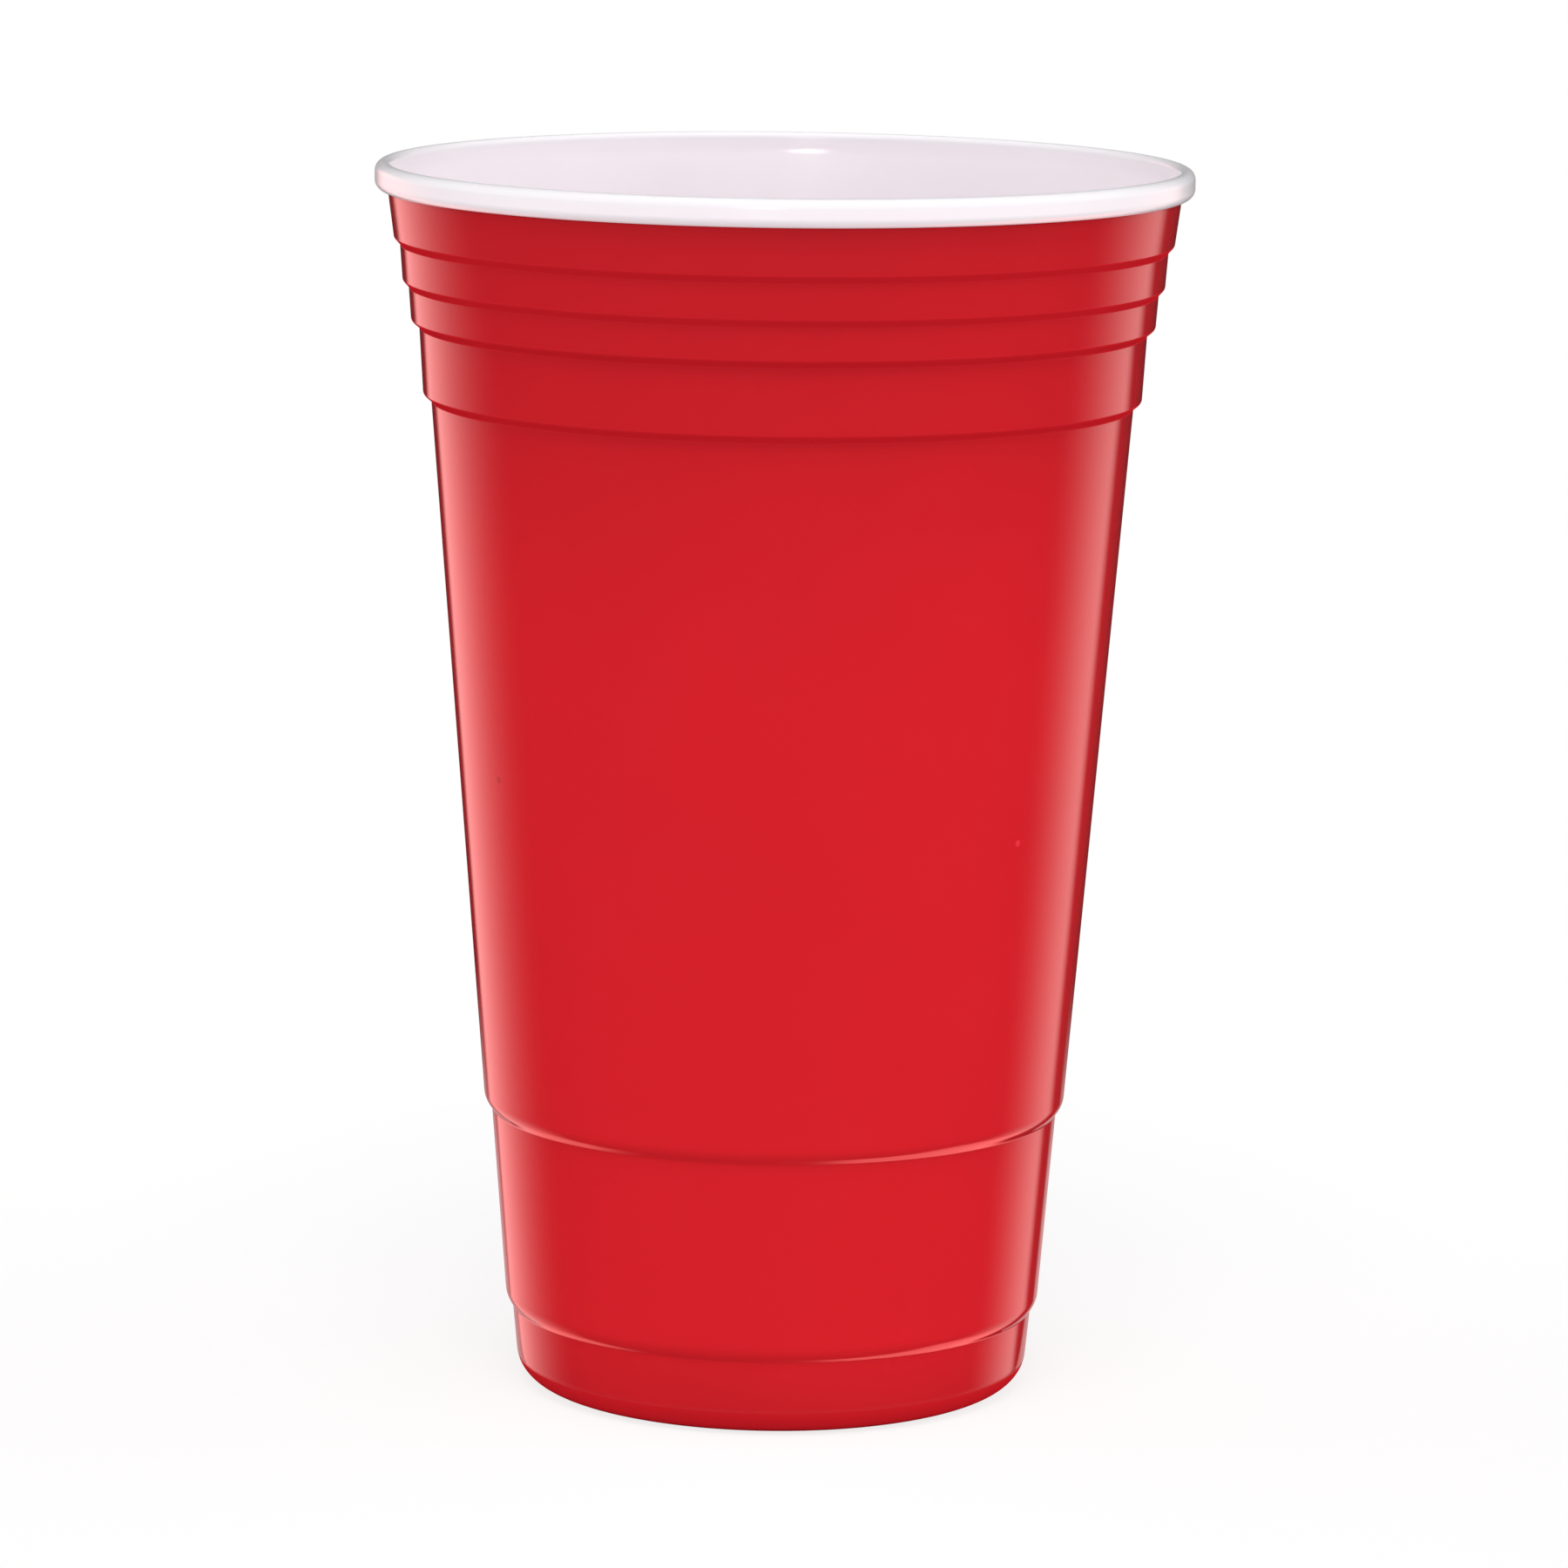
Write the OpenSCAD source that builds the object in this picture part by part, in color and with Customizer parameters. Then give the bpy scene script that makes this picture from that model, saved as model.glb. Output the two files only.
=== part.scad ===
// Stadium cup: a drinking cup formed in one piece from a thin two-coloured plastic sheet.
// From the top down it has a rolled rim, a flared lip band, three grip bands, a long
// tapered wall, two stacking steps and a floor raised inside a foot ring.
// The cup's axis is +Z, and its foot stands on z = 0.

/* [Overall] */
// Outer diameter of the rolled rim
rim_d = 100; // [80:1:120]
// Height from the foot to the top of the rim
cup_h = 151.7; // [120:0.1:200]

/* [Sheet] */
// Thickness of the formed sheet
wall_t = 0.45; // [0.3:0.05:0.6]
// Thickness of its coloured outer layer, the rest being the white lining
skin_t = 0.2; // [0.1:0.05:0.25]

/* [Rolled rim] */
// Width of the roll, from the inside of the wall to the outermost edge
roll_w = 1.9; // [1.75:0.05:2.5]
// Height of the roll
roll_h = 3.4; // [2.6:0.1:5]
// Outside radius of its two outer bends
roll_outer_r = 1.15; // [0.8:0.05:1.2]
// Gap between the roll's cut edge and the wall
roll_gap = 0.2; // [0.1:0.05:0.3]

/* [Lip band] */
// Height of the flared band under the roll
lip_h = 5.8; // [4:0.1:10]
// How far up behind the roll it runs before it turns upright
lip_run_up = 1.0; // [0.2:0.1:1.1]
// Flare of that band, in degrees from upright
lip_flare = 7.5; // [4:0.1:12]
// Inside radius of the bend where it turns upright
lip_bend_r = 8; // [1:0.5:8]

/* [Grip bands] */
// Height of the first grip band
grip1_h = 4.4; // [3:0.1:8]
// Height of the second grip band
grip2_h = 4.1; // [3:0.1:8]
// Taper of the first two grip bands, in degrees
grip_taper = 4.3; // [2:0.1:8]
// Height of the deep third grip band
grip3_h = 8.2; // [4:0.1:14]
// Taper of the deep grip band, in degrees
grip3_taper = 3.5; // [2:0.1:8]

/* [Grip steps] */
// Height of each step between the bands
grip_step_h = 0.8; // [0.6:0.05:1.5]
// How far the wall goes in at the first two steps
small_step_in = 0.75; // [0.4:0.05:1.2]
// How far the wall goes in at the two steps below them
large_step_in = 1.0; // [0.5:0.05:1.5]
// Inside radius of the bend at the top of each step
grip_edge_r = 0.1; // [0.05:0.05:0.5]
// Inside radius of the bend at the foot of each step
grip_bend_r = 0.5; // [0.1:0.05:0.8]

/* [Main wall] */
// Taper of the long wall, in degrees
wall_taper = 4.6; // [2:0.05:7]

/* [Stacking steps] */
// Height of the band between the two lower steps
low_band_h = 24.0; // [15:0.1:35]
// Taper of that band, in degrees
low_taper = 4.6; // [2:0.1:7]
// Height of the upper one of the two
stack_step_h = 1.15; // [0.9:0.05:3]
// How far the wall goes in there
stack_step_in = 0.9; // [0.4:0.05:1.5]
// Inside radius of the bend at its top
stack_edge_r = 2.0; // [0.1:0.1:2.5]
// Height of the lower one
foot_step_h = 1.05; // [0.9:0.05:3]
// How far the wall goes in there
foot_step_in = 0.8; // [0.4:0.05:1.2]
// Inside radius of the bend at its top
foot_edge_r = 2.5; // [0.1:0.1:3.5]
// Inside radius of the bend at the foot of both
stack_bend_r = 0.35; // [0.1:0.05:0.9]

/* [Foot and floor] */
// Height of the band above the foot
foot_band_h = 9.5; // [7:0.1:14]
// Taper of that band, in degrees
foot_taper = 5.5; // [2:0.1:8]
// Outside radius of the corner between the wall and the foot
foot_corner_r = 4.0; // [2:0.1:5]
// Width of the flat ring that the cup stands on
foot_ring_w = 1.8; // [1.2:0.1:3]
// Inside radius of the bend where the foot ring turns up to the floor
ring_bend_r = 0.8; // [0.4:0.1:1.2]
// Height of the floor's underside above the foot
floor_rise = 4.0; // [3:0.1:6]
// Slope of the wall between the foot ring and the floor, in degrees from upright
riser_slope = 20; // [5:1:35]
// Inside radius of the bend between that wall and the floor
floor_bend_r = 1.0; // [0.4:0.1:1.5]

/* [Hidden] */
skin_colour = [0.82, 0.13, 0.15];
lining_colour = [0.96, 0.95, 0.96];
// The two layers are melted into each other to this depth, which makes them one sheet
bond_t = skin_t / 4;
// Steps around the axis, and degrees of each step round a bend
round_fn = 180;
bend_step = 12;
// Points of the section that lie closer than this are one point
same_point = 0.001;

rim_r = rim_d / 2;
// Outer face of the upright wall behind the roll, and the height of the roll's underside
lip_r = rim_r - roll_w + wall_t;
roll_z = cup_h - roll_h;
// The roll's lower bend is no larger than its underside, from the cut edge to the outside
under_r = min(roll_outer_r, rim_r - lip_r - roll_gap);

// The outer face of the sheet is a chain of straight stretches with a bend at each corner.
// A corner is [radius, height, inside radius of its bend].
function below(corner, h, angle, bend) =
    [corner[0] - h * tan(angle), corner[1] - h, bend];
function step_in(corner, h, inset, bend) =
    [corner[0] - inset, corner[1] - h, bend];

// Rim: from the cut edge out along the underside, up the outside and over the top, where
// the bend into the wall takes the width that the outer bend leaves
roll_cut = [lip_r + roll_gap, roll_z + wall_t, 0];
roll_low = [rim_r - wall_t, roll_z + wall_t, under_r - wall_t];
roll_high = [rim_r - wall_t, cup_h - wall_t, roll_outer_r - wall_t];
roll_top = [lip_r, cup_h - wall_t, roll_w - roll_outer_r - wall_t];

// Wall: each band ends at the edge of a step, and each step at the top of the next band
lip_top = [lip_r, roll_z + lip_run_up, lip_bend_r];
lip_edge = below(lip_top, lip_run_up + lip_h, lip_flare, grip_edge_r);
grip1_top = step_in(lip_edge, grip_step_h, small_step_in, grip_bend_r);
grip1_edge = below(grip1_top, grip1_h, grip_taper, grip_edge_r);
grip2_top = step_in(grip1_edge, grip_step_h, small_step_in, grip_bend_r);
grip2_edge = below(grip2_top, grip2_h, grip_taper, grip_edge_r);
grip3_top = step_in(grip2_edge, grip_step_h, large_step_in, grip_bend_r);
grip3_edge = below(grip3_top, grip3_h, grip3_taper, grip_edge_r);
wall_top = step_in(grip3_edge, grip_step_h, large_step_in, grip_bend_r);

// The long wall takes the height that the bands and steps leave over
low_band_z = foot_band_h + foot_step_h + low_band_h;
wall_h = wall_top[1] - low_band_z - stack_step_h;
wall_edge = below(wall_top, wall_h, wall_taper, stack_edge_r);
low_top = step_in(wall_edge, stack_step_h, stack_step_in, stack_bend_r);
low_edge = below(low_top, low_band_h, low_taper, foot_edge_r);
foot_top = step_in(low_edge, foot_step_h, foot_step_in, stack_bend_r);

// Foot: the corner, the flat ring, and up to the floor
foot_corner = below(foot_top, foot_band_h, foot_taper, foot_corner_r - wall_t);
corner_reach = foot_corner_r * tan((90 - foot_taper) / 2);
ring_reach = (ring_bend_r + wall_t) * tan((90 - riser_slope) / 2);
ring_inner = [foot_corner[0] - corner_reach - foot_ring_w - ring_reach, 0, ring_bend_r];
floor_edge = [ring_inner[0] - floor_rise * tan(riser_slope), floor_rise, floor_bend_r];
floor_centre = [0, floor_rise, 0];

sheet = [
    roll_cut, roll_low, roll_high, roll_top,
    lip_top, lip_edge, grip1_top, grip1_edge, grip2_top, grip2_edge, grip3_top, grip3_edge,
    wall_top, wall_edge, low_top, low_edge, foot_top,
    foot_corner, ring_inner, floor_edge, floor_centre
];

function flat(p) = [p[0], p[1]];
function unit(v) = v / norm(v);
function heading(path, i) = unit(flat(path[i + 1]) - flat(path[i]));
// The normal that points from the outer face into the sheet
function inward(v) = [v[1], -v[0]];
function turned(v, a) = [v[0] * cos(a) - v[1] * sin(a), v[0] * sin(a) + v[1] * cos(a)];

// Where corner i of the path lies on the face that is depth inside the outer one
function corner_at(path, i, depth) =
    let (
        last = len(path) - 1,
        before = heading(path, max(i - 1, 0)),
        after = heading(path, min(i, last - 1)),
        middle = unit(inward(before) + inward(after))
    )
    flat(path[i]) + middle * depth / (middle * inward(before));

// Points along the bend at corner i, on the face that is depth inside the outer one
function bend_points(path, i, depth) =
    let (
        before = heading(path, i - 1),
        after = heading(path, i),
        turn = atan2(before[0] * after[1] - before[1] * after[0], before * after),
        side = sign(turn),
        radius = path[i][2] + (side > 0 ? depth : wall_t - depth),
        start = corner_at(path, i, depth) - before * radius * tan(abs(turn) / 2),
        centre = start - side * radius * inward(before),
        steps = ceil(abs(turn) / bend_step)
    )
    [for (k = [0:steps]) centre + turned(start - centre, turn * k / steps)];

// The whole face that is depth inside the outer one, without points that repeat the last
function face_points(path, depth) =
    let (
        last = len(path) - 1,
        bends = [for (i = [1:last - 1]) each bend_points(path, i, depth)],
        points = concat([corner_at(path, 0, depth)], bends, [corner_at(path, last, depth)])
    )
    [
        for (i = [0:len(points) - 1])
            if (i == 0 || norm(points[i] - points[i - 1]) > same_point) points[i]
    ];

function reversed(list) = [for (i = [len(list) - 1:-1:0]) list[i]];

// One layer of the sheet, between two depths below its outer face, turned about the axis
module layer(outer_depth, inner_depth) {
    rotate_extrude($fn = round_fn)
        polygon(concat(face_points(sheet, outer_depth), reversed(face_points(sheet, inner_depth))));
}

module cup() {
    union() {
        color(skin_colour) layer(0, skin_t);
        color(lining_colour) layer(skin_t - bond_t, wall_t);
    }
}

cup();
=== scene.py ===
"""Looks of a stadium cup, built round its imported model.

The cup is formed in one piece from a thin sheet of polystyrene: a glossy red skin outside and a
white lining inside, which rolls out over the rim. Its section is drawn here again with finer
bends, turned about the axis, and dressed with the two layers' finishes. Lengths are in mm up to
the point where a mesh is made, and angles are in degrees.
"""

import logging
import math
from dataclasses import dataclass, field
from enum import Enum

import bpy
import numpy as np
from mathutils import Matrix, Vector


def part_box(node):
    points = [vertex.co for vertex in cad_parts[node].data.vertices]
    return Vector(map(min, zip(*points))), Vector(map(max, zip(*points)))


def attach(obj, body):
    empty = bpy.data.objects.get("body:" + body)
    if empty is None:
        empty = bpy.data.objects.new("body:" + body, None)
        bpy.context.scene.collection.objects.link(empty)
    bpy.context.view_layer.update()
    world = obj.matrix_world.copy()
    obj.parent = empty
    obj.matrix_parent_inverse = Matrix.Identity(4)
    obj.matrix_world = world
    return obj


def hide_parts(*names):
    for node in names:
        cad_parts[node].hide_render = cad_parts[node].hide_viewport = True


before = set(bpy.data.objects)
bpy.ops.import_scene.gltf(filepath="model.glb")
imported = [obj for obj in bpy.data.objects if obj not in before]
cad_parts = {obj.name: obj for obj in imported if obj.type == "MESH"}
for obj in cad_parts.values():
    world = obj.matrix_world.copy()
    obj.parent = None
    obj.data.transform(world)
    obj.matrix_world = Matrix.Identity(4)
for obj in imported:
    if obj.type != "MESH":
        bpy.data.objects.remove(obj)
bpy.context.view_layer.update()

MM = 0.001
CAD_NODE = "cup"
BODY = "root"
# The export bakes the finish to the UV map of this name, if a piece brings one
BAKE_MAP = "OFBake"
SMOOTH = "SMOOTHSTEP"
# A noise has nearly all of its values between these
NOISE_LOW, NOISE_HIGH = 0.3, 0.7
# Specular IOR Level at which a surface has the whole gloss of its IOR
FULL_SHEEN = 0.5

log = logging.getLogger("stadium_cup")


def linear_colour(code: str) -> tuple[float, float, float, float]:
    """Turns an sRGB hex colour to the linear colour that shaders use.

    Args:
        code: the colour, such as "#D22028".

    Returns:
        Red, green, blue and an alpha of 1.
    """
    parts = (int(code[i:i + 2], 16) / 255 for i in (1, 3, 5))
    linear = (c / 12.92 if c <= 0.04045 else ((c + 0.055) / 1.055) ** 2.4 for c in parts)
    return (*linear, 1.0)


def add_node(tree: bpy.types.NodeTree, kind: str, inputs: dict | None = None,
             **settings: object) -> bpy.types.Node:
    """Adds a shader node with its settings and links.

    Args:
        tree: the node tree that it goes into.
        kind: its type, without the words ShaderNode.
        inputs: for each input, by name or number, its value, the socket that feeds it, or the
            node whose first output does.
        **settings: the node's own options.

    Returns:
        The node.
    """
    node = tree.nodes.new("ShaderNode" + kind)
    for name, value in settings.items():
        setattr(node, name, value)
    for name, value in (inputs or {}).items():
        if isinstance(value, bpy.types.Node):
            value = value.outputs[0]
        if isinstance(value, bpy.types.NodeSocket):
            tree.links.new(value, node.inputs[name])
        else:
            node.inputs[name].default_value = value
    return node


def new_material(name: str) -> tuple[bpy.types.Material, bpy.types.NodeTree]:
    """Makes a material with no nodes.

    Args:
        name: its name.

    Returns:
        The material and its node tree.
    """
    made = bpy.data.materials.new(name)
    made.use_nodes = True
    made.node_tree.nodes.clear()
    return made, made.node_tree


def light_colour(level: float, tint: str = "#FFFFFF") -> tuple[float, float, float, float]:
    """The colour of a light.

    Args:
        level: how bright it is, where 1 is white.
        tint: the sRGB hex colour that it has at level 1.

    Returns:
        Its linear colour.
    """
    red, green, blue, alpha = linear_colour(tint)
    return (level * red, level * green, level * blue, alpha)


def compass(azimuth: float, elevation: float) -> Vector:
    """The direction that lies at an azimuth and elevation.

    Args:
        azimuth: degrees from the camera's side of the cup, positive to the right in the picture.
        elevation: degrees above the horizon.

    Returns:
        A unit vector from the cup towards that direction.
    """
    round_by, up_by = math.radians(azimuth), math.radians(elevation)
    level = math.cos(up_by)
    return Vector((math.sin(round_by) * level, -math.cos(round_by) * level, math.sin(up_by)))


class Layer(Enum):
    """The two layers of the sheet, by the number of their material slot."""

    SKIN = 0
    LINING = 1


class Side(Enum):
    """A side of the cup in the picture, by the sign of its azimuths."""

    LEFT = -1
    RIGHT = 1


@dataclass(frozen=True)
class Corner:
    """A corner of the sheet's outer face, in the cup's section."""

    radius: float
    height: float
    bend: float = 0.0

    def below(self, drop: float, lean: float, bend: float) -> "Corner":
        """The corner at the foot of a band.

        Args:
            drop: height of the band.
            lean: its taper, from upright.
            bend: inside radius of the bend there.

        Returns:
            The corner.
        """
        inset = drop * math.tan(math.radians(lean))
        return Corner(self.radius - inset, self.height - drop, bend)

    def step_in(self, drop: float, inset: float, bend: float) -> "Corner":
        """The corner at the foot of a step.

        Args:
            drop: height of the step.
            inset: how far the wall goes in there.
            bend: inside radius of the bend there.

        Returns:
            The corner.
        """
        return Corner(self.radius - inset, self.height - drop, bend)


@dataclass(frozen=True)
class FormedSheet:
    """The sheet of two layers, and how it follows a chain of corners."""

    thickness: float = 0.45
    skin: float = 0.2
    # Degrees of each step round a bend
    bend_step: float = 5.0
    # Points closer than this are one point
    same_point: float = 0.001

    def face(self, corners: list[Corner], depth: float) -> tuple[np.ndarray, np.ndarray]:
        """The line of one face of the sheet, with true bends at the corners.

        Args:
            corners: corners of the outer face, in order.
            depth: how far inside the outer face this one lies.

        Returns:
            Its points, and at each the normal that points from the outer face outwards.
        """
        at = np.array([(c.radius, c.height) for c in corners])
        ways = np.diff(at, axis=0)
        ways /= np.linalg.norm(ways, axis=1)[:, None]
        points = [at[0] - depth * self.outward(ways[0])]
        normals = [self.outward(ways[0])]
        for before, after, corner, place in zip(ways, ways[1:], corners[1:], at[1:]):
            turn = math.atan2(before[0] * after[1] - before[1] * after[0], before @ after)
            hollow = turn > 0
            radius = corner.bend + (depth if hollow else self.thickness - depth)
            side = -1 if hollow else 1
            miter = self.outward(before) + self.outward(after)
            tip = place - depth * miter / (miter @ self.outward(before))
            start = tip - before * radius * math.tan(abs(turn) / 2)
            centre = start - side * radius * self.outward(before)
            steps = math.ceil(abs(math.degrees(turn)) / self.bend_step)
            for angle in np.linspace(0, turn, 1 + steps):
                turned = np.array([[math.cos(angle), -math.sin(angle)],
                                   [math.sin(angle), math.cos(angle)]])
                points.append(centre + turned @ (start - centre))
                normals.append(self.outward(turned @ before))
        points.append(at[-1] - depth * self.outward(ways[-1]))
        normals.append(self.outward(ways[-1]))
        points, normals = np.array(points), np.array(normals)
        apart = np.linalg.norm(np.diff(points, axis=0), axis=1) > self.same_point
        keep = np.append(True, apart)
        return points[keep], normals[keep]

    @staticmethod
    def outward(way: np.ndarray) -> np.ndarray:
        """The normal of the outer face of a stretch that runs this way."""
        return np.array([-way[1], way[0]])


@dataclass(frozen=True)
class RolledRim:
    """The rim, where the sheet goes over, down and back under to its cut edge."""

    width: float = 1.9
    height: float = 3.4
    outer_bend: float = 1.15
    gap: float = 0.2

    def wall_radius(self, rim_radius: float, sheet: FormedSheet) -> float:
        """Radius of the outer face of the upright wall behind the roll."""
        return rim_radius - self.width + sheet.thickness

    def corners(self, rim_radius: float, top: float, sheet: FormedSheet) -> list[Corner]:
        """The roll's corners, from the cut edge out along the underside and over the top.

        Args:
            rim_radius: radius of the rim's outside.
            top: height of the rim's top.
            sheet: the sheet that is rolled.

        Returns:
            The corners.
        """
        wall = self.wall_radius(rim_radius, sheet)
        t = sheet.thickness
        under_bend = min(self.outer_bend, rim_radius - wall - self.gap)
        under = top - self.height + t
        return [
            Corner(wall + self.gap, under),
            Corner(rim_radius - t, under, under_bend - t),
            Corner(rim_radius - t, top - t, self.outer_bend - t),
            Corner(wall, top - t, self.width - self.outer_bend - t),
        ]


@dataclass(frozen=True)
class GripBands:
    """The flared lip band and the three grip bands, with the steps between them."""

    lip_height: float = 5.8
    lip_run_up: float = 1.0
    lip_flare: float = 7.5
    lip_bend: float = 8.0
    heights: tuple[float, ...] = (4.4, 4.1, 8.2)
    tapers: tuple[float, ...] = (4.3, 4.3, 3.5)
    step_height: float = 0.8
    steps_in: tuple[float, ...] = (0.75, 0.75, 1.0, 1.0)
    edge_bend: float = 0.1
    foot_bend: float = 0.5

    def corners(self, wall_radius: float, roll_underside: float) -> list[Corner]:
        """Corners from behind the roll down to the top of the long wall.

        Args:
            wall_radius: radius of the wall's outer face behind the roll.
            roll_underside: height of the roll's underside.

        Returns:
            The corners.
        """
        top = Corner(wall_radius, roll_underside + self.lip_run_up, self.lip_bend)
        lip = self.lip_run_up + self.lip_height
        chain = [top, top.below(lip, self.lip_flare, self.edge_bend)]
        for inset, height, taper in zip(self.steps_in, self.heights, self.tapers):
            chain.append(chain[-1].step_in(self.step_height, inset, self.foot_bend))
            chain.append(chain[-1].below(height, taper, self.edge_bend))
        chain.append(chain[-1].step_in(self.step_height, self.steps_in[-1], self.foot_bend))
        return chain


@dataclass(frozen=True)
class StackingSteps:
    """The long wall and the two steps below it, on which stacked cups rest."""

    wall_taper: float = 4.6
    # Height of a step, how far the wall goes in there, and the bend at its top
    upper_step: tuple[float, float] = (1.15, 0.9)
    upper_bend: float = 2.0
    band_height: float = 24.0
    band_taper: float = 4.6
    lower_step: tuple[float, float] = (1.05, 0.8)
    lower_bend: float = 2.5
    foot_bend: float = 0.35

    def corners(self, wall_top: Corner, foot_band: float) -> list[Corner]:
        """Corners from the foot of the long wall to the top of the foot band.

        Args:
            wall_top: the corner at the top of the long wall.
            foot_band: height of the band above the foot.

        Returns:
            The corners.
        """
        wall_foot = foot_band + self.lower_step[0] + self.band_height + self.upper_step[0]
        chain = [wall_top.below(wall_top.height - wall_foot, self.wall_taper, self.upper_bend)]
        chain.append(chain[-1].step_in(*self.upper_step, self.foot_bend))
        chain.append(chain[-1].below(self.band_height, self.band_taper, self.lower_bend))
        chain.append(chain[-1].step_in(*self.lower_step, self.foot_bend))
        return chain


@dataclass(frozen=True)
class Foot:
    """The foot band, the rounded corner, the flat ring and the floor raised inside it."""

    band_height: float = 9.5
    taper: float = 5.5
    corner: float = 4.0
    ring_width: float = 1.8
    ring_bend: float = 0.8
    floor_rise: float = 4.0
    riser_slope: float = 20.0
    floor_bend: float = 1.0

    def corners(self, band_top: Corner, sheet: FormedSheet) -> list[Corner]:
        """Corners from the foot's outside to the middle of the floor.

        Args:
            band_top: the corner at the top of the foot band.
            sheet: the sheet that it is formed from.

        Returns:
            The corners.
        """
        t = sheet.thickness
        outside = band_top.below(self.band_height, self.taper, self.corner - t)
        corner_reach = self.corner * math.tan(math.radians(90 - self.taper) / 2)
        ring_reach = (self.ring_bend + t) * math.tan(math.radians(90 - self.riser_slope) / 2)
        ring_radius = outside.radius - corner_reach - self.ring_width - ring_reach
        ring = Corner(ring_radius, 0.0, self.ring_bend)
        lean = self.floor_rise * math.tan(math.radians(self.riser_slope))
        floor = Corner(ring.radius - lean, self.floor_rise, self.floor_bend)
        return [outside, ring, floor, Corner(0.0, self.floor_rise)]


@dataclass(frozen=True)
class SurfaceMark:
    """A small round mark in the skin, by the azimuth, height and radius where it lies."""

    azimuth: float
    height: float
    radius: float
    # How wide it is, of which the middle half has its full colour
    width: float
    shade: str

    def place(self) -> Vector:
        """Where it lies, in metres."""
        level = compass(self.azimuth, 0.0) * self.radius
        return Vector((level.x, level.y, self.height)) * MM


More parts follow.
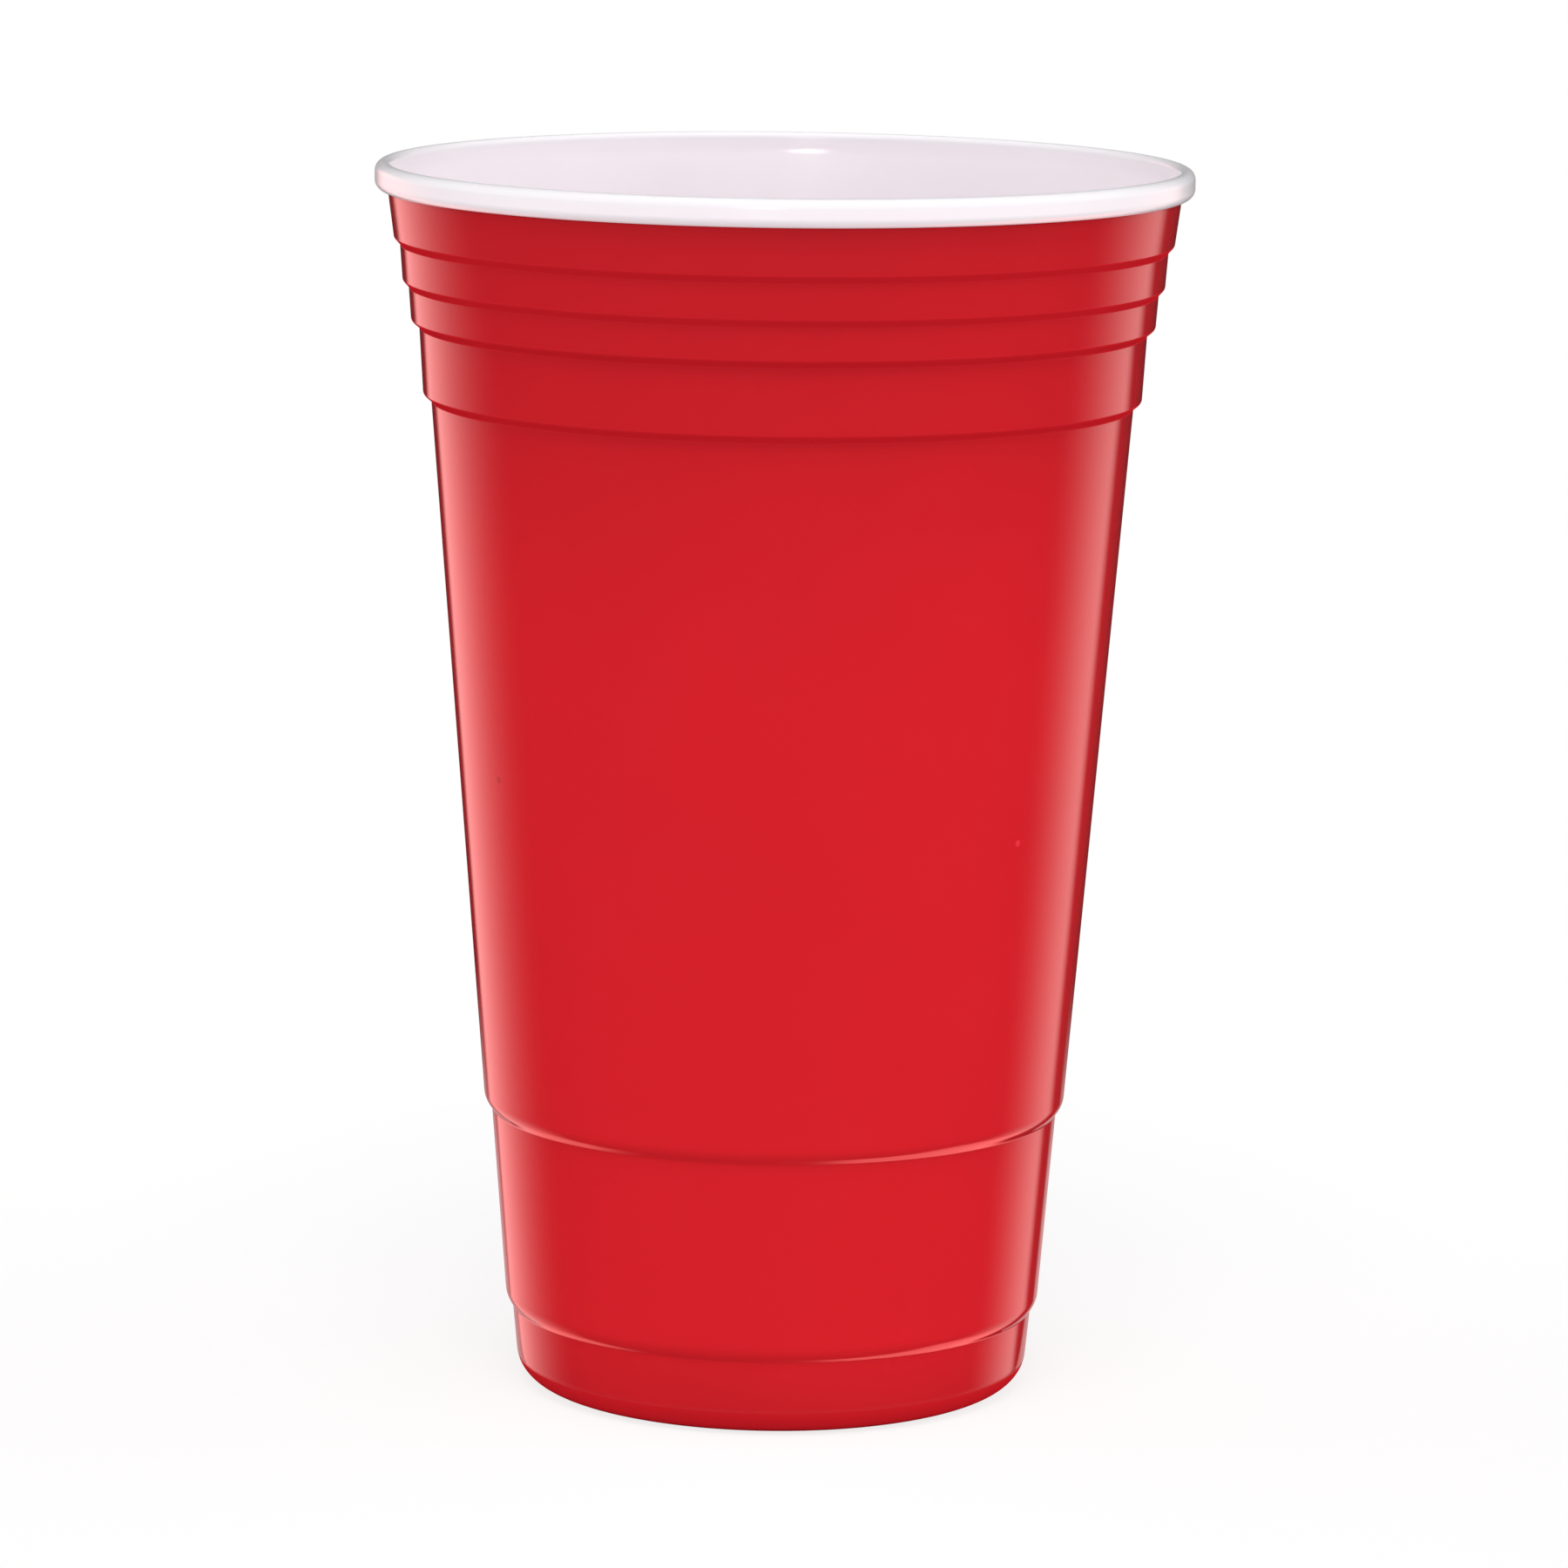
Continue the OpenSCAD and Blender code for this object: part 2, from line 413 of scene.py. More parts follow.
@dataclass(frozen=True)
class RedSkin:
    """High-impact polystyrene, coloured through and extruded as the sheet's gloss outer layer.

    It keeps the polish of the extruder's roll where the forming tool doesn't touch it, so it shows
    clear reflections of the studio. Drawing it down gives faint clouds of colour and haze, a fine
    waviness like orange peel, and very faint lines along the draw.
    """

    deep_and_shaded: str = "#C41D26"
    bright: str = "#D41F28"
    # Heights between which the red goes from deep to bright above the foot, and from bright back
    # to deep below the lip. The deep red there is partly the thicker, less drawn sheet and partly
    # painted shade, near the floor and under the rim.
    foot_draw_and_shade: tuple[float, float] = (0.0, 14.0)
    lip_draw_and_shade: tuple[float, float] = (88.0, 140.0)
    # How much the clouds change the mix of the two colours
    cloudiness: float = 0.3
    ior: float = 1.59
    polish: tuple[float, float] = (0.06, 0.085)
    # The photo shows no gloss on the undersides of the grip steps, above the first height, and
    # on the foot's corner, below the second. The tool's edges and standing may have dulled them.
    dull_above: float = 100.0
    dull_below: float = 4.5
    dull_roughness: float = 0.4
    # The share of the gloss that is left there
    dull_sheen: float = 0.0
    # The upright part of a face's normal at which it isn't yet an underside, and wholly is one
    underside: tuple[float, float] = (-0.1, -0.28)
    # Width of the clouds of colour and of haze, of the peel and of the draw lines. Real peel and
    # lines are finer, and are drawn as coarse as they need to show.
    cloud: float = 26.0
    haze: float = 11.0
    peel: float = 1.3
    draw_line: float = 2.2
    draw_length: float = 60.0
    # Height of the peel's and the lines' waves
    peel_depth: float = 0.0009
    line_depth: float = 0.0008
    # A darker fleck on the left and a paler one on the right
    marks: tuple[SurfaceMark, ...] = (
        SurfaceMark(azimuth=-58.7, height=78.5, radius=39.5, width=1.1, shade="#B5161F"),
        SurfaceMark(azimuth=48.0, height=72.5, radius=39.0, width=1.1, shade="#E63440"),
    )

    def material(self) -> bpy.types.Material:
        """Makes the finish's material."""
        made, tree = new_material("gloss_red_polystyrene")
        place = add_node(tree, "TexCoord").outputs["Object"]
        height = add_node(tree, "SeparateXYZ", {0: place}).outputs["Z"]
        dull = self.dullness(tree, height)
        haze = add_node(tree, "TexNoise", {
            "Vector": place, "Scale": 1 / (self.haze * MM), "Detail": 3.0})
        polish = add_node(tree, "MapRange", {
            "Value": haze.outputs["Fac"], "From Min": NOISE_LOW, "From Max": NOISE_HIGH,
            "To Min": self.polish[0], "To Max": self.polish[1]})
        rough = add_node(tree, "MixRGB", {0: dull, 1: polish, 2: (*[self.dull_roughness] * 3, 1.0)})
        sheen = add_node(tree, "MapRange", {
            "Value": dull, "To Min": FULL_SHEEN, "To Max": FULL_SHEEN * self.dull_sheen})
        shader = add_node(tree, "BsdfPrincipled", {
            "Base Color": self.colour(tree, place, height), "Roughness": rough, "IOR": self.ior,
            "Specular IOR Level": sheen, "Normal": self.relief(tree, place)})
        add_node(tree, "OutputMaterial", {"Surface": shader})
        return made

    def colour(self, tree: bpy.types.NodeTree, place: bpy.types.NodeSocket,
               height: bpy.types.NodeSocket) -> bpy.types.Node:
        """Mixes the red, with its clouds, its partly painted shade along the height and its marks.

        Args:
            tree: the material's node tree.
            place: where a point lies on the cup.
            height: its height.

        Returns:
            The node that gives the colour.
        """
        # Painted shade, with the sheet's own deeper red: the red deepens towards the foot and under
        # the lip
        draw_and_shade = 1.0
        for start, full in (self.foot_draw_and_shade, self.lip_draw_and_shade[::-1]):
            draw_and_shade = add_node(tree, "MapRange", {
                "Value": height, "From Min": start * MM, "From Max": full * MM,
                "To Min": 0.0, "To Max": draw_and_shade}, interpolation_type=SMOOTH)
        clouds = add_node(tree, "TexNoise", {
            "Vector": place, "Scale": 1 / (self.cloud * MM), "Detail": 2.0, "Roughness": 0.45})
        drift = add_node(tree, "MapRange", {
            "Value": clouds.outputs["Fac"], "From Min": NOISE_LOW, "From Max": NOISE_HIGH,
            "To Min": -self.cloudiness / 2, "To Max": self.cloudiness / 2})
        mix = add_node(tree, "Math", {0: draw_and_shade, 1: drift}, operation="ADD", use_clamp=True)
        colour = add_node(tree, "MixRGB", {
            0: mix, 1: linear_colour(self.deep_and_shaded), 2: linear_colour(self.bright)})
        for mark in self.marks:
            away = add_node(tree, "VectorMath", {0: place, 1: mark.place()}, operation="DISTANCE")
            spot = add_node(tree, "MapRange", {
                "Value": away.outputs["Value"], "From Min": mark.width / 4 * MM,
                "From Max": mark.width / 2 * MM, "To Min": 1.0, "To Max": 0.0},
                interpolation_type=SMOOTH)
            colour = add_node(tree, "MixRGB", {0: spot, 1: colour, 2: linear_colour(mark.shade)})
        return colour

    def dullness(self, tree: bpy.types.NodeTree, height: bpy.types.NodeSocket) -> bpy.types.Node:
        """Finds the undersides of the grip steps and the foot's corner.

        Args:
            tree: the material's node tree.
            height: a point's height on the cup.

        Returns:
            A node that gives 1 there and 0 elsewhere.
        """
        faces = add_node(tree, "NewGeometry").outputs["Normal"]
        under = add_node(tree, "MapRange", {
            "Value": add_node(tree, "SeparateXYZ", {0: faces}).outputs["Z"],
            "From Min": self.underside[0], "From Max": self.underside[1]},
            interpolation_type=SMOOTH)
        grips = add_node(tree, "Math", {0: height, 1: self.dull_above * MM},
                         operation="GREATER_THAN")
        foot = add_node(tree, "Math", {0: height, 1: self.dull_below * MM}, operation="LESS_THAN")
        ends = add_node(tree, "Math", {0: grips, 1: foot}, operation="ADD")
        return add_node(tree, "Math", {0: under, 1: ends}, operation="MULTIPLY")

    def relief(self, tree: bpy.types.NodeTree, place: bpy.types.NodeSocket) -> bpy.types.Node:
        """Makes the peel and the draw lines.

        Args:
            tree: the material's node tree.
            place: where a point lies on the cup.

        Returns:
            The node that gives the surface's normal.
        """
        peel = add_node(tree, "TexNoise", {
            "Vector": place, "Scale": 1 / (self.peel * MM), "Detail": 1.0})
        peeled = add_node(tree, "Bump", {
            "Strength": 1.0, "Distance": self.peel_depth * MM, "Height": peel.outputs["Fac"]})
        along = add_node(tree, "Mapping", {
            "Vector": place, "Scale": (1.0, 1.0, self.draw_line / self.draw_length)})
        lines = add_node(tree, "TexNoise", {
            "Vector": along, "Scale": 1 / (self.draw_line * MM), "Detail": 2.0})
        return add_node(tree, "Bump", {
            "Strength": 1.0, "Distance": self.line_depth * MM, "Height": lines.outputs["Fac"],
            "Normal": peeled})


@dataclass(frozen=True)
class WhiteLining:
    """High-impact polystyrene, filled white and extruded as the sheet's inner layer.

    The rubber in it and the plug that pushes it into the tool leave it satin, so it shows wide
    pale sheens and no mirror image. It is a cool white with a trace of the red behind it.
    """

    thin: str = "#F2EAEF"
    full: str = "#F6EEF3"
    rim: str = "#EFECEF"
    # Heights between which the wall's white turns to the rim's, where the sheet isn't drawn thin
    rim_fade: tuple[float, float] = (150.2, 151.2)
    ior: float = 1.59
    satin: tuple[float, float] = (0.15, 0.21)
    # Width of the clouds where it is drawn thin, and of the fine texture of the plug, which is
    # drawn as coarse as it needs to show
    cloud: float = 18.0
    texture: float = 0.9
    texture_depth: float = 0.0015

    def material(self) -> bpy.types.Material:
        """Makes the finish's material."""
        made, tree = new_material("satin_white_polystyrene")
        place = add_node(tree, "TexCoord").outputs["Object"]
        height = add_node(tree, "SeparateXYZ", {0: place}).outputs["Z"]
        clouds = add_node(tree, "TexNoise", {
            "Vector": place, "Scale": 1 / (self.cloud * MM), "Detail": 3.0}).outputs["Fac"]
        wall = add_node(tree, "MixRGB", {
            0: clouds, 1: linear_colour(self.thin), 2: linear_colour(self.full)})
        up = add_node(tree, "MapRange", {
            "Value": height, "From Min": self.rim_fade[0] * MM, "From Max": self.rim_fade[1] * MM},
            interpolation_type=SMOOTH)
        colour = add_node(tree, "MixRGB", {0: up, 1: wall, 2: linear_colour(self.rim)})
        satin = add_node(tree, "MapRange", {
            "Value": clouds, "From Min": NOISE_LOW, "From Max": NOISE_HIGH,
            "To Min": self.satin[0], "To Max": self.satin[1]})
        texture = add_node(tree, "TexNoise", {
            "Vector": place, "Scale": 1 / (self.texture * MM), "Detail": 2.0})
        rough = add_node(tree, "Bump", {
            "Strength": 1.0, "Distance": self.texture_depth * MM,
            "Height": texture.outputs["Fac"]})
        shader = add_node(tree, "BsdfPrincipled", {
            "Base Color": colour, "Roughness": satin, "IOR": self.ior, "Normal": rough})
        add_node(tree, "OutputMaterial", {"Surface": shader})
        return made


@dataclass(frozen=True)
class Cup:
    """The cup: one sheet from the roll's cut edge to the middle of the floor."""

    rim_radius: float
    height: float
    sheet: FormedSheet = field(default_factory=FormedSheet)
    rim: RolledRim = field(default_factory=RolledRim)
    grips: GripBands = field(default_factory=GripBands)
    steps: StackingSteps = field(default_factory=StackingSteps)
    foot: Foot = field(default_factory=Foot)
    # Stretches round the axis, few enough to keep the mesh under 200,000 triangles
    stretches: int = 220

    def corners(self) -> list[Corner]:
        """The corners of the whole section, in order."""
        wall_radius = self.rim.wall_radius(self.rim_radius, self.sheet)
        chain = self.rim.corners(self.rim_radius, self.height, self.sheet)
        chain += self.grips.corners(wall_radius, self.height - self.rim.height)
        chain += self.steps.corners(chain[-1], self.foot.band_height)
        chain += self.foot.corners(chain[-1], self.sheet)
        return chain

    def section(self) -> tuple[np.ndarray, np.ndarray, int]:
        """The closed line round the sheet.

        Returns:
            Its points from the middle of the floor along the inside, over the rim, across the
            cut edge and back along the outside, the surface's normal at each, and the number of
            the point where the lining ends and the skin begins.
        """
        corners = self.corners()
        outer, outer_normals = self.sheet.face(corners, 0.0)
        inner, inner_normals = self.sheet.face(corners, self.sheet.thickness)
        border = outer[:1] + (inner[:1] - outer[:1]) * self.sheet.skin / self.sheet.thickness
        cut = np.array([[-1.0, 0.0]])
        points = np.concatenate([inner[::-1], border, outer])
        normals = np.concatenate([-inner_normals[::-1], cut, outer_normals])
        return points * MM, normals, len(inner)

    def build(self) -> bpy.types.Object:
        """Turns the section about the axis into the cup's mesh.

        Returns:
            The cup, with a smooth mesh, a UV map for baking and its layers told apart.
        """
        points, normals, border = self.section()
        rings, stretches = len(points), self.stretches
        turns = np.arange(stretches) * 2 * math.pi / stretches
        spin = np.stack([np.cos(turns), np.sin(turns)], 1)

        def turned(line: np.ndarray) -> np.ndarray:
            """A line of the section turned about the axis, with one point for each of its ends."""
            flat = line[1:-1, None, :1] * spin
            rise = np.broadcast_to(line[1:-1, None, 1:], (*flat.shape[:2], 1))
            body = np.concatenate([flat, rise], 2).reshape(-1, 3)
            ends = [(0.0, 0.0, line[0, 1]), (0.0, 0.0, line[-1, 1])]
            return np.concatenate([body, ends])

        ring = np.arange((rings - 2) * stretches).reshape(rings - 2, stretches)
        after = np.roll(ring, -1, axis=1)
        quads = np.stack([ring[:-1], ring[1:], after[1:], after[:-1]], 2).reshape(-1, 4)
        inside, underside = ring.size, ring.size + 1
        fans = [(inside, a, b) for a, b in zip(ring[0], after[0])]
        fans += [(a, underside, b) for a, b in zip(ring[-1], after[-1])]
        mesh = bpy.data.meshes.new("cup_shell")
        mesh.from_pydata(turned(points), [], quads.tolist() + fans)
        mesh.polygons.foreach_set("use_smooth", np.ones(len(mesh.polygons), bool))
        layers = np.where(np.repeat(np.arange(1, rings - 2), stretches) < border,
                          Layer.LINING.value, Layer.SKIN.value)
        ends = np.repeat([Layer.LINING.value, Layer.SKIN.value], stretches)
        mesh.polygons.foreach_set("material_index", np.concatenate([layers, ends]).astype(np.int32))
        mesh.normals_split_custom_set_from_vertices(turned(normals))
        self.unwrap(mesh, points)
        mesh.validate()
        cup = bpy.data.objects.new("cup_shell", mesh)
        bpy.context.scene.collection.objects.link(cup)
        return cup

    def unwrap(self, mesh: bpy.types.Mesh, points: np.ndarray) -> None:
        """Gives the mesh a map that unrolls the whole sheet into one rectangle.

        Args:
            mesh: the cup's mesh.
            points: the section that it was turned from.
        """
        run = np.append(0.0, np.cumsum(np.linalg.norm(np.diff(points, axis=0), axis=1)))
        run /= run[-1]
        corner = np.empty(len(mesh.loops), np.int32)
        mesh.loops.foreach_get("vertex_index", corner)
        body = (len(points) - 2) * self.stretches
        across = np.where(corner < body, corner % self.stretches, 0) / self.stretches
        up = run[np.select([corner < body, corner == body], [corner // self.stretches + 1, 0],
                           len(points) - 1)]
        sides = np.array([p.loop_total for p in mesh.polygons])
        starts = np.repeat([p.loop_start for p in mesh.polygons], sides)
        step = 1 / self.stretches
        # The last stretch ends at the map's far side, and a fan's tip stands over its own stretch
        firsts = starts[np.append(True, np.diff(starts) > 0)]
        last = np.maximum.reduceat(np.where(corner < body, across, 0), firsts)
        last = np.repeat(last, sides)
        across = np.where((last > 1 - 1.5 * step) & (across < step / 2), 1.0, across)
        across = np.where(corner < body, across, last)
        layer = mesh.uv_layers.new(name=BAKE_MAP)
        layer.data.foreach_set("uv", np.stack([across, up], 1).astype(np.float32).ravel())

    def dress(self, cup: bpy.types.Object) -> None:
        """Gives the two layers their finishes.

        Args:
            cup: the cup as built.
        """
        finishes = {Layer.SKIN: RedSkin(), Layer.LINING: WhiteLining()}
        for layer in Layer:
            cup.data.materials.append(finishes[layer].material())


@dataclass(frozen=True)
class SoftLight:
    """A large diffused lamp, so far off that it lights the whole cup alike."""

    name: str
    azimuth: float
    elevation: float
    # Degrees across, as seen from the cup
    spread: float
    # How bright it shows a white surface that faces it, where 1 is white
    level: float

    def hang(self) -> None:
        """Puts the lamp in the scene. The gloss doesn't see it, since the panels stand for it."""
        lamp = bpy.data.lights.new(self.name, "SUN")
        lamp.angle = math.radians(self.spread)
        lamp.energy = self.level * math.pi
        placed = bpy.data.objects.new(self.name, lamp)
        way = compass(self.azimuth, self.elevation)
        placed.location = way
        placed.rotation_mode = "QUATERNION"
        placed.rotation_quaternion = way.to_track_quat("Z", "Y")
        placed.visible_glossy = False
        bpy.context.scene.collection.objects.link(placed)


@dataclass(frozen=True)
class Panel:
    """A tall pale panel beside the cup, as the gloss shows it.

    It fades in from start to full and out from fade to end, in degrees round from the camera's
    side. Its low part, which the undersides of the steps show, reaches round from low_start.
    """

    side: Side
    start: float
    full: float
    fade: float
    end: float
    low_start: float
    low_full: float
    level: float
    low_level: float
    tint: str = "#FFB6B4"
    low_tint: str = "#FF8C88"


@dataclass(frozen=True)
class Highlight:
    """A small lamp, as the gloss shows it, by its middle and half its size in degrees."""

    azimuth: float
    elevation: float
    half_width: float
    half_height: float
    level: float
    # The part of its half size that has the full level
    core: float = 0.7


@dataclass(frozen=True)
class Studio:
    """The pale studio: floor, lamps, what the gloss sees, and the camera.

    The lamps and the panels are set to give the light and the sheens of the photograph.
    """

    lights: tuple[SoftLight, ...] = (
        SoftLight("top_light", 0.0, 62.0, 32.0, 0.50),
        SoftLight("front_light", 0.0, 6.0, 50.0, 0.36),
        SoftLight("left_light", -75.0, 22.0, 60.0, 0.23),
        SoftLight("right_light", 75.0, 22.0, 60.0, 0.33),
        SoftLight("left_back_light", -115.0, 20.0, 60.0, 0.24),
        SoftLight("right_back_light", 115.0, 20.0, 60.0, 0.24),
    )
    panels: tuple[Panel, ...] = (
        Panel(Side.LEFT, start=100.0, full=149.0, fade=154.0, end=162.0,
              low_start=116.0, low_full=134.0, level=1.9, low_level=2.5),
        Panel(Side.RIGHT, start=101.0, full=137.0, fade=140.0, end=150.0,
              low_start=88.0, low_full=106.0, level=1.35, low_level=3.6, tint="#FFD0CC"),
    )
    # The small lamp that the inside of the far wall shows
    highlight: Highlight = Highlight(azimuth=-6.5, elevation=3.4, half_width=4.8,
                                     half_height=2.8, level=18.0)
    # Degrees from the horizon between which a panel's low part begins, and its colour turns
    low_part: tuple[float, float] = (34.0, 48.0)
    low_colour: tuple[float, float] = (26.0, 40.0)
    # Degrees above the horizon between which the panels end and the overhead light begins
    panel_top: tuple[float, float] = (14.0, 4.0)
    overhead_from: tuple[float, float] = (50.0, 66.0)
    # Brightness of the air round the cup, and of what the gloss sees between the panels
    fill: float = 0.20
    gloom: float = 0.02
    overhead: float = 0.5
    floor_size: float = 12.0
    floor_bounce: str = "#DDDDDD"
    # The part of the floor's brightness that a shadow takes away
    floor_shade: float = 0.2
    # The table behind the foot, as the gloss shows it: it fades out between these distances from
    # the axis, in mm, and between these slopes away from the line of sight past the cup's side
    glare_reach: tuple[float, float] = (110.0, 260.0)
    glare_slope: tuple[float, float] = (0.28, 0.42)
    glare_side: float = 35.5
    glare: str = "#CFB4B3"
    # The camera, in mm and degrees
    camera_place: tuple[float, float, float] = (0.77, -888.9, 225.8)
    camera_down: float = 9.63
    camera_roll: float = 0.705
    lens: float = 167.4
    sensor: float = 36.0
    # How near and how far it sees, in metres
    clip: tuple[float, float] = (0.05, 50.0)

    def open_level(self) -> float:
        """How bright a white level surface shows, away from the cup's shadow."""
        lamps = (one.level * math.sin(math.radians(one.elevation)) for one in self.lights)
        return self.fill + sum(lamps)

    def lay_floor(self) -> bpy.types.Object:
        """Makes the floor.

        Returns:
            The floor, which the eye sees white with the cup's soft shadow.
        """
        half = self.floor_size / 2
        mesh = bpy.data.meshes.new("floor")
        mesh.from_pydata([(-half, -half, 0), (half, -half, 0), (half, half, 0), (-half, half, 0)],
                         [], [(0, 1, 2, 3)])
        floor = bpy.data.objects.new("floor", mesh)
        bpy.context.scene.collection.objects.link(floor)
        made, tree = new_material("matt_white_floor")
        path = add_node(tree, "LightPath").outputs
        bounce = add_node(tree, "BsdfDiffuse", {"Color": linear_colour(self.floor_bounce)})
        share = self.floor_shade / self.open_level()
        lit = add_node(tree, "BsdfDiffuse", {"Color": light_colour(share)})
        glow = add_node(tree, "Emission", {"Strength": 1.0 - self.floor_shade})
        seen = add_node(tree, "AddShader", {0: lit, 1: glow})
        plain = add_node(tree, "MixShader", {0: path["Is Camera Ray"], 1: bounce, 2: seen})
        # The gloss looks through the rest of the floor, to the studio's panels mirrored below it
        clear = add_node(tree, "BsdfTransparent")
        table = add_node(tree, "Emission", {"Color": linear_colour(self.glare)})
        polished = add_node(tree, "MixShader", {0: self.glare_amount(tree), 1: clear, 2: table})
        shader = add_node(tree, "MixShader", {0: path["Is Glossy Ray"], 1: plain, 2: polished})
        add_node(tree, "OutputMaterial", {"Surface": shader})
        mesh.materials.append(made)
        return floor

    def glare_amount(self, tree: bpy.types.NodeTree) -> bpy.types.Node:
        """Finds where the table behind the foot shows in the gloss.

        Args:
            tree: the floor's node tree.

        Returns:
            A node that gives 1 where it shows and 0 where it doesn't.
        """
        place = add_node(tree, "TexCoord").outputs["Object"]
        away = add_node(tree, "VectorMath", {0: place}, operation="LENGTH").outputs["Value"]
        east, north, _ = add_node(tree, "SeparateXYZ", {0: place}).outputs
        out = add_node(tree, "Math", {0: east}, operation="ABSOLUTE")
        aside = add_node(tree, "Math", {0: out, 1: self.glare_side * MM}, operation="SUBTRACT")
        back = add_node(tree, "Math", {0: north, 1: MM}, operation="MAXIMUM")
        slope = add_node(tree, "Math", {0: aside, 1: back}, operation="DIVIDE")
        shown = add_node(tree, "Math", {0: north, 1: 0.0}, operation="GREATER_THAN")
        full, end = self.glare_reach
        for value, limits in ((away, (full * MM, end * MM)), (slope, self.glare_slope)):
            kept = add_node(tree, "MapRange", {
                "Value": value, "From Min": limits[1], "From Max": limits[0]},
                interpolation_type=SMOOTH)
            shown = add_node(tree, "Math", {0: shown, 1: kept}, operation="MULTIPLY")
        return shown

    def surround(self) -> None:
        """Makes the world: white to the eye, soft fill to the surfaces, and panels to the gloss."""
        world = bpy.data.worlds.new("studio")
        bpy.context.scene.world = world
        world.use_nodes = True
        # Its light depends on the kind of ray, which Cycles' map of bright parts doesn't allow for
        world.cycles.sampling_method = "NONE"
        tree = world.node_tree
        tree.nodes.clear()
        path = add_node(tree, "LightPath").outputs
        dim = add_node(tree, "MixRGB", {
            0: path["Is Glossy Ray"], 1: light_colour(self.fill), 2: self.gloss_view(tree)})
        plain = add_node(tree, "Math", {
            0: path["Is Camera Ray"], 1: path["Is Transmission Ray"]}, operation="MAXIMUM")
        shown = add_node(tree, "MixRGB", {0: plain, 1: dim, 2: light_colour(1.0)})
        light = add_node(tree, "Background", {"Color": shown, "Strength": 1.0})
        add_node(tree, "OutputWorld", {"Surface": light})

    def gloss_view(self, tree: bpy.types.NodeTree) -> bpy.types.Node:
        """Draws what the gloss sees: the panels and the highlight, in a dim room.

        Args:
            tree: the world's node tree.

        Returns:
            The node that gives the colour in each direction.
        """
        # In a world's shader these coordinates are the direction of the ray
        way = add_node(tree, "TexCoord").outputs["Generated"]
        east, north, up = add_node(tree, "SeparateXYZ", {0: way}).outputs
        south = add_node(tree, "Math", {0: north, 1: -1.0}, operation="MULTIPLY")
        turn = add_node(tree, "Math", {0: east, 1: south}, operation="ARCTAN2")
        rise = add_node(tree, "Math", {0: up}, operation="ARCSINE")
        azimuth = add_node(tree, "Math", {0: turn}, operation="DEGREES")
        elevation = add_node(tree, "Math", {0: rise}, operation="DEGREES")
        steep = add_node(tree, "Math", {0: elevation}, operation="ABSOLUTE")
        high, low, beside, coloured = (
            add_node(tree, "MapRange", {
                "Value": value, "From Min": limits[0], "From Max": limits[1]},
                interpolation_type=SMOOTH)
            for value, limits in ((elevation, self.overhead_from), (steep, self.low_part),
                                  (elevation, self.panel_top), (steep, self.low_colour)))
        view = add_node(tree, "MixRGB", {
            0: high, 1: light_colour(self.gloom), 2: light_colour(self.overhead)})
        for panel in self.panels:
            view = self.add_panel(tree, panel, view, (azimuth, low, beside, coloured))
        lit = 1.0
        spot = self.highlight
        for value, middle, half in ((azimuth, spot.azimuth, spot.half_width),
                                    (elevation, spot.elevation, spot.half_height)):
            off = add_node(tree, "Math", {0: value, 1: middle}, operation="SUBTRACT")
            lit = add_node(tree, "MapRange", {
                "Value": add_node(tree, "Math", {0: off}, operation="ABSOLUTE"),
                "From Min": half, "From Max": spot.core * half, "To Min": 0.0, "To Max": lit},
                interpolation_type=SMOOTH)
        return add_node(tree, "MixRGB", {0: lit, 1: view, 2: light_colour(spot.level)})

    @staticmethod
    def add_panel(tree: bpy.types.NodeTree, panel: Panel, view: bpy.types.Node,
                  where: tuple[bpy.types.Node, ...]) -> bpy.types.Node:
        """Draws a panel over what the gloss sees.

        Args:
            tree: the world's node tree.
            panel: the panel.
            view: the node that gives what lies behind it.
            where: nodes that give the azimuth, how far a direction is in the panel's low part,
                how far it is beside the panel, and how far it has the low part's colour.

        Returns:
            The node that gives the new view.
        """
        azimuth, low, beside, coloured = where
        along = add_node(tree, "Math", {0: azimuth, 1: float(panel.side.value)},
                         operation="MULTIPLY")
        start = add_node(tree, "Math", {
            0: low, 1: panel.low_start - panel.start, 2: panel.start}, operation="MULTIPLY_ADD")
        full = add_node(tree, "Math", {
            0: low, 1: panel.low_full - panel.full, 2: panel.full}, operation="MULTIPLY_ADD")
        lit = beside
        for first, second in ((start, full), (panel.end, panel.fade)):
            edge = add_node(tree, "MapRange", {
                "Value": along, "From Min": first, "From Max": second},
                interpolation_type=SMOOTH)
            lit = add_node(tree, "Math", {0: lit, 1: edge}, operation="MULTIPLY")
        shade = add_node(tree, "MixRGB", {
            0: coloured, 1: light_colour(panel.level, panel.tint),
            2: light_colour(panel.low_level, panel.low_tint)})
        return add_node(tree, "MixRGB", {0: lit, 1: view, 2: shade})

    def set_camera(self) -> None:
        """Puts the camera where the photograph was taken from."""
        camera = bpy.data.cameras.new("camera")
        camera.lens = self.lens
        camera.sensor_width = self.sensor
        camera.clip_start, camera.clip_end = self.clip
        placed = bpy.data.objects.new("camera", camera)
        placed.matrix_world = (Matrix.Translation(Vector(self.camera_place) * MM)
                               @ Matrix.Rotation(math.radians(90 - self.camera_down), 4, "X")
                               @ Matrix.Rotation(math.radians(self.camera_roll), 4, "Z"))
        bpy.context.scene.collection.objects.link(placed)
        bpy.context.scene.camera = placed

    def build(self) -> None:
        """Makes the whole studio."""
        self.lay_floor()
        self.surround()
        for light in self.lights:
            light.hang()
        self.set_camera()
        bpy.context.scene.view_settings.view_transform = "Standard"


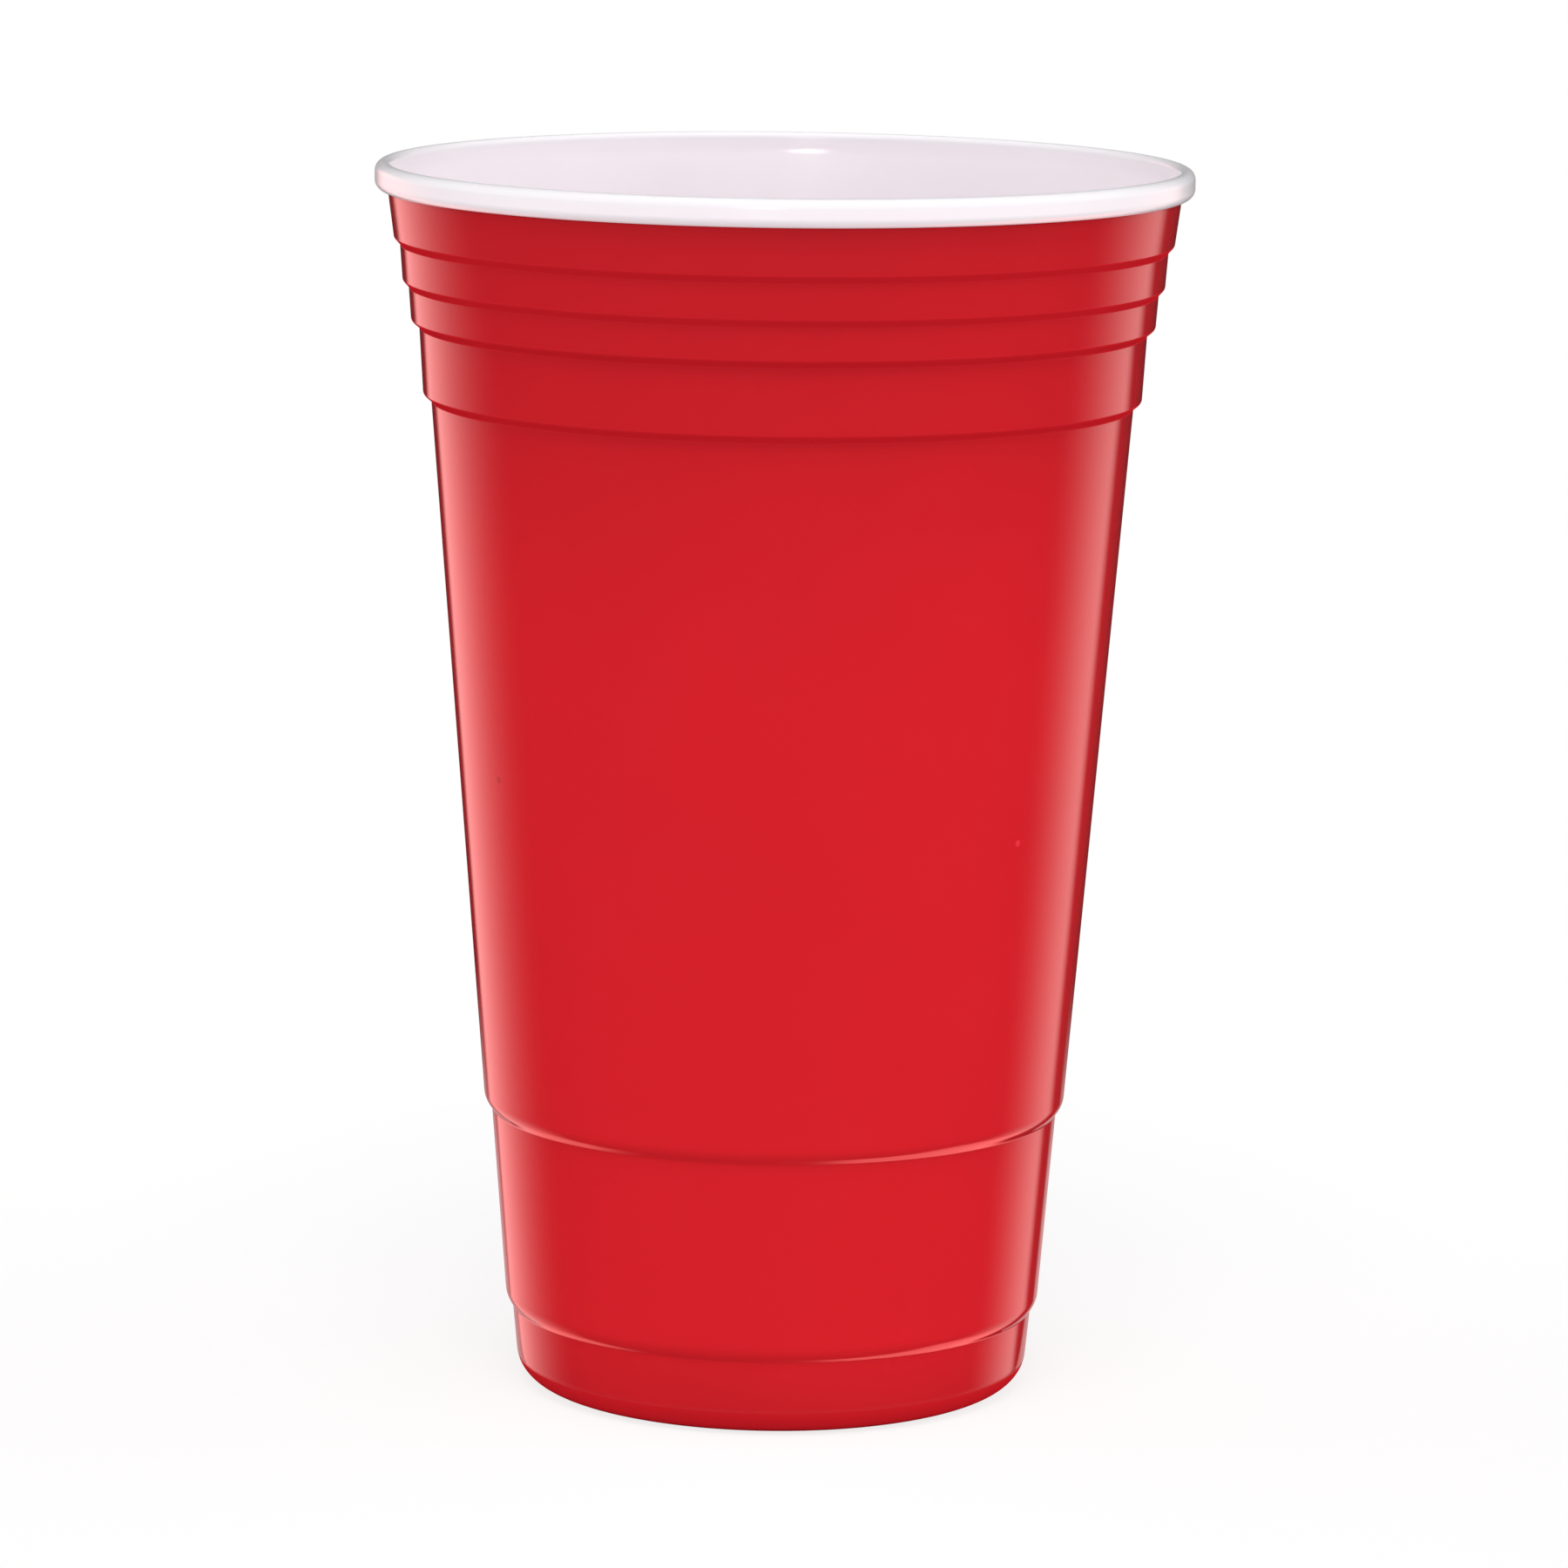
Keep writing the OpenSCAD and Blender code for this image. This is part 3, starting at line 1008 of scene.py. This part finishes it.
def main() -> None:
    """Builds the cup and the studio."""
    logging.basicConfig(level=logging.INFO, format="%(name)s: %(message)s")
    low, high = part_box(CAD_NODE)
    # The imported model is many-sided, so it is a little narrower along one axis than the other
    radius = min(high.x - low.x, high.y - low.y) / 2
    cup = Cup(rim_radius=radius / MM, height=high.z / MM)
    piece = cup.build()
    cup.dress(piece)
    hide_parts(CAD_NODE)
    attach(piece, BODY)
    log.info("%s: %d faces", piece.name, len(piece.data.polygons))
    studio = Studio()
    studio.build()
    log.info("studio: floor, %d lights and camera", len(studio.lights))


if __name__ == "__main__":
    main()
